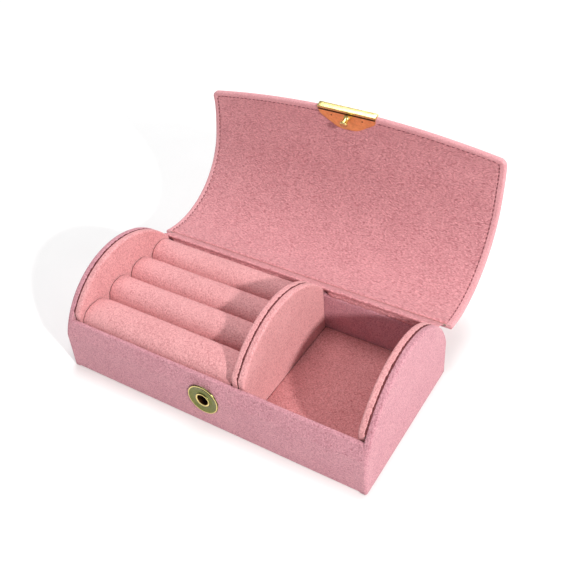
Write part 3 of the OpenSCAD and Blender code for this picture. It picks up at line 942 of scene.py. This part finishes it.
def latch_leaf(name, face, outward):
    """A leaf of the clip: six-sided, with rounded corners and bevelled edges."""
    edge, shoulder, tip, tip_half = 0.4, 4.2, 11.0, 5.2
    corners = np.array([(-CLIP_HALF + 0.2, edge), (CLIP_HALF - 0.2, edge), (CLIP_HALF - 0.4, shoulder),
                        (tip_half, tip), (-tip_half, tip), (-CLIP_HALF + 0.4, shoulder)])
    rounding = [0.3, 0.3, 1.8, 3.0, 3.0, 1.8]
    outline = []
    for k, corner in enumerate(corners):
        before, after = corners[k - 1] - corner, corners[(k + 1) % 6] - corner
        a = corner + before / np.linalg.norm(before) * rounding[k]
        b = corner + after / np.linalg.norm(after) * rounding[k]
        outline += [(1 - t) ** 2 * a + 2 * t * (1 - t) * corner + t * t * b for t in np.linspace(0, 1, 7)]
    outline = np.array(outline)
    middle = outline.mean(axis=0)
    thick = 0.4
    rings = []
    for share, depth in ((0.4, thick), (0.85, thick), (0.972, thick), (0.99, thick * 0.8),
                         (1.0, thick * 0.55), (1.0, 0.0), (0.4, 0.0)):
        ring = middle + (outline - middle) * share
        rings.append(on_flap([at_edge(x, up, face + outward * depth) for x, up in ring]))
    return loft(name, rings, PLATE, "flap")


def latch_bar():
    """The clip's bar: a rounded channel over the free edge."""
    deep, high, low, corner = HALF_THICK + 0.5, 0.85, -0.6, 0.35
    shape = []
    for cx, cz, start in ((deep - corner, high - corner, 0), (corner - deep, high - corner, 90),
                          (corner - deep, low + corner, 180), (deep - corner, low + corner, 270)):
        shape += arc_points((cx, cz), (corner, corner), math.radians(start), math.radians(start + 90), 6)
    tip = [(CLIP_HALF - 0.3, 1.0), (CLIP_HALF - 0.05, 0.96), (CLIP_HALF + 0.1, 0.86)]
    between = [(x, 1.0) for x in np.linspace(-CLIP_HALF + 2, CLIP_HALF - 2, 9)]
    rings = []
    for x, share in [(-x, share) for x, share in reversed(tip)] + between + tip:
        rings.append(on_flap([at_edge(x, up * share + 0.4 * (1 - share), d * share) for d, up in shape]))
    loft("latch_edge_bar", rings, GOLD, "flap")


def latch_bar_painted_shade():
    """A dark strip on the inner leaf beside the bar: painted shade in the gap under the bar."""
    profile = ((0.8, 0.3), (0.8, 0.5), (1.25, 0.56), (1.7, 0.5), (1.7, 0.3))
    end = CLIP_HALF - 0.3
    rings = [on_flap([at_edge(x, up, HALF_THICK + d) for up, d in profile])
             for x in np.linspace(-end, end, 12)]
    loft("latch_bar_painted_shade", rings, BRONZE_AND_SHADE, "flap")


def stud():
    """The stud: collar, waisted post and domed head, square to the front wall when the case is closed."""
    length = 4.7
    profile = [(0, 0), (1.85, 0), (1.85, 0.2), (1.65, 0.36), (1.5, 0.5), (1.42, 0.9), (1.4, length - 1.7),
               (1.5, length - 1.5), (1.95, length - 1.35), (2.08, length - 1.1), (2.06, length - 0.7),
               (1.8, length - 0.3), (1.3, length - 0.08), (0.7, length), (0, length)]
    points, faces = lathe(profile, turned_at(0, STUD_Y + 0.3))
    make_mesh("latch_stud_turned", on_shut_flap(points), faces, GOLD, "flap", ["latch_stud"])


def rivets():
    """Two small dimpled rivet heads, one on each side of the stud."""
    profile = [(0, -0.2), (0.42, -0.2), (0.42, 0.06), (0.3, 0.15), (0.14, 0.05), (0, 0.02)]
    points, faces = [], []
    for x in (-8.5, 8.5):
        more, quads = lathe(profile, turned_at(x, STUD_Y + 0.4), 20)
        faces += [tuple(v + len(points) for v in quad) for quad in quads]
        points += more
    make_mesh("latch_rivet_heads", on_shut_flap(points), faces, BRONZE_AND_SHADE, "flap", ["latch_rivets"])


def latch():
    """A folded clip over the free edge, with the stud and two rivets."""
    inner = latch_leaf("latch_inner_leaf", HALF_THICK, 1)
    latch_leaf("latch_outer_leaf", -HALF_THICK, -1)
    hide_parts("latch_clip")
    latch_bar()
    latch_bar_painted_shade()
    stud()
    rivets()


def socket():
    """The flanged eyelet: a beaded outer edge, a shallow dish, a rolled rim and a tube into the wall."""
    roll, wall, depth = 0.52, 0.4, 3.0
    middle = SOCKET_HOLE + roll
    bead = (7.4, 7.9)  # inner and outer radius of the gold bead
    profile = [(SOCKET_HOLE, -depth), (SOCKET_HOLE, -0.2)]
    profile += arc_points((middle, 0.32), (-roll, roll), 0.1, math.pi - 0.2, 12)
    profile += [(middle + roll + 0.25, 0.20), (4.9, 0.12), (5.6, 0.14), (6.3, 0.24), (6.9, 0.40),
                (bead[0], 0.60), (7.65, 0.64), (7.85, 0.54), (SOCKET_R, 0.30), (SOCKET_R, 0.0),
                (SOCKET_HOLE + wall, 0.0), (SOCKET_HOLE + wall, -depth)]
    points, faces = lathe(profile, turned_at(0, -HALF_D, -1), 72, closed=True)
    eyelet = make_mesh("socket_eyelet", points, faces, OLD_GOLD, "base", ["socket_flange"])
    eyelet.data.materials.append(GOLD)
    eyelet.data.materials.append(BRONZE_AND_SHADE)
    for face in eyelet.data.polygons:
        out = math.hypot(face.center.x, face.center.z - SOCKET_Z * MM) / MM
        # The tube's inside takes the dark bronze as painted shade in the hole.
        if out < SOCKET_HOLE + 0.12:
            face.material_index = 2
        else:
            face.material_index = int(out < SOCKET_HOLE + 0.85 or bead[0] < out < bead[1])


# ------------------------ CAD nodes
def finish_cad_nodes():
    """Gives every CAD node its slot's material; the boards, foam and hidden metal are shown as they are."""
    by_slot = {"greyboard": GREYBOARD, "foam": FOAM, "plated_steel": STEEL, "gold_metal": GOLD,
               "suede_outer": OUTER, "suede_lining": LINING}
    slots = {s["node"]: s["material_slot"] for s in frame["record"]["subparts"]}
    for name, piece in frame["nodes"].items():
        piece.data.materials.clear()
        piece.data.materials.append(by_slot[slots[name]])


# ------------------------ studio
def studio():
    """A pale floor, four area lamps and an even white surround."""
    reach = 3.0
    corners = [(-reach, -reach, 0), (reach, -reach, 0), (reach, reach, 0), (-reach, reach, 0)]
    data = bpy.data.meshes.new("floor")
    data.from_pydata(corners, [], [(0, 1, 2, 3)])
    data.materials.append(matt_floor("floor"))
    floor = bpy.data.objects.new("floor", data)
    bpy.context.collection.objects.link(floor)

    def area(name, power, where, target, width, colour=(1, 1, 1)):
        lamp = bpy.data.lights.new(name, "AREA")
        lamp.energy, lamp.size, lamp.color = power, width, colour
        made = bpy.data.objects.new(name, lamp)
        made.location = where
        made.rotation_euler = (Vector(target) - Vector(where)).to_track_quat("-Z", "Y").to_euler()
        bpy.context.collection.objects.link(made)

    area("key", 14.0, (0.98, -0.40, 0.62), (0, 0, 0.03), 0.07, (1.0, 0.98, 0.95))
    area("fill", 0.4, (-0.5, -0.9, 0.7), (0, 0, 0.03), 0.8, (0.93, 0.96, 1.0))
    area("top", 8.6, (-0.1, 0.30, 1.1), (0, 0.02, 0.03), 0.7)
    area("back", 2.0, (-0.2, 1.0, 0.6), (0, 0.05, 0.05), 0.6)
    world = bpy.data.worlds.new("world")
    world.use_nodes = True
    background = world.node_tree.nodes["Background"]
    background.inputs["Color"].default_value = (1.0, 1.0, 1.0, 1.0)
    background.inputs["Strength"].default_value = 0.37
    bpy.context.scene.world = world


add_camera()
finish_cad_nodes()
panels()
seams()
case_wrap()
for roll_number in (1, 2, 3, 4):
    ring_roll(roll_number)
trinket_pad()
lid_cover()
flap_board_panel()
lid_lining()
stitches()
hinge_skin()
latch()
socket()
studio()
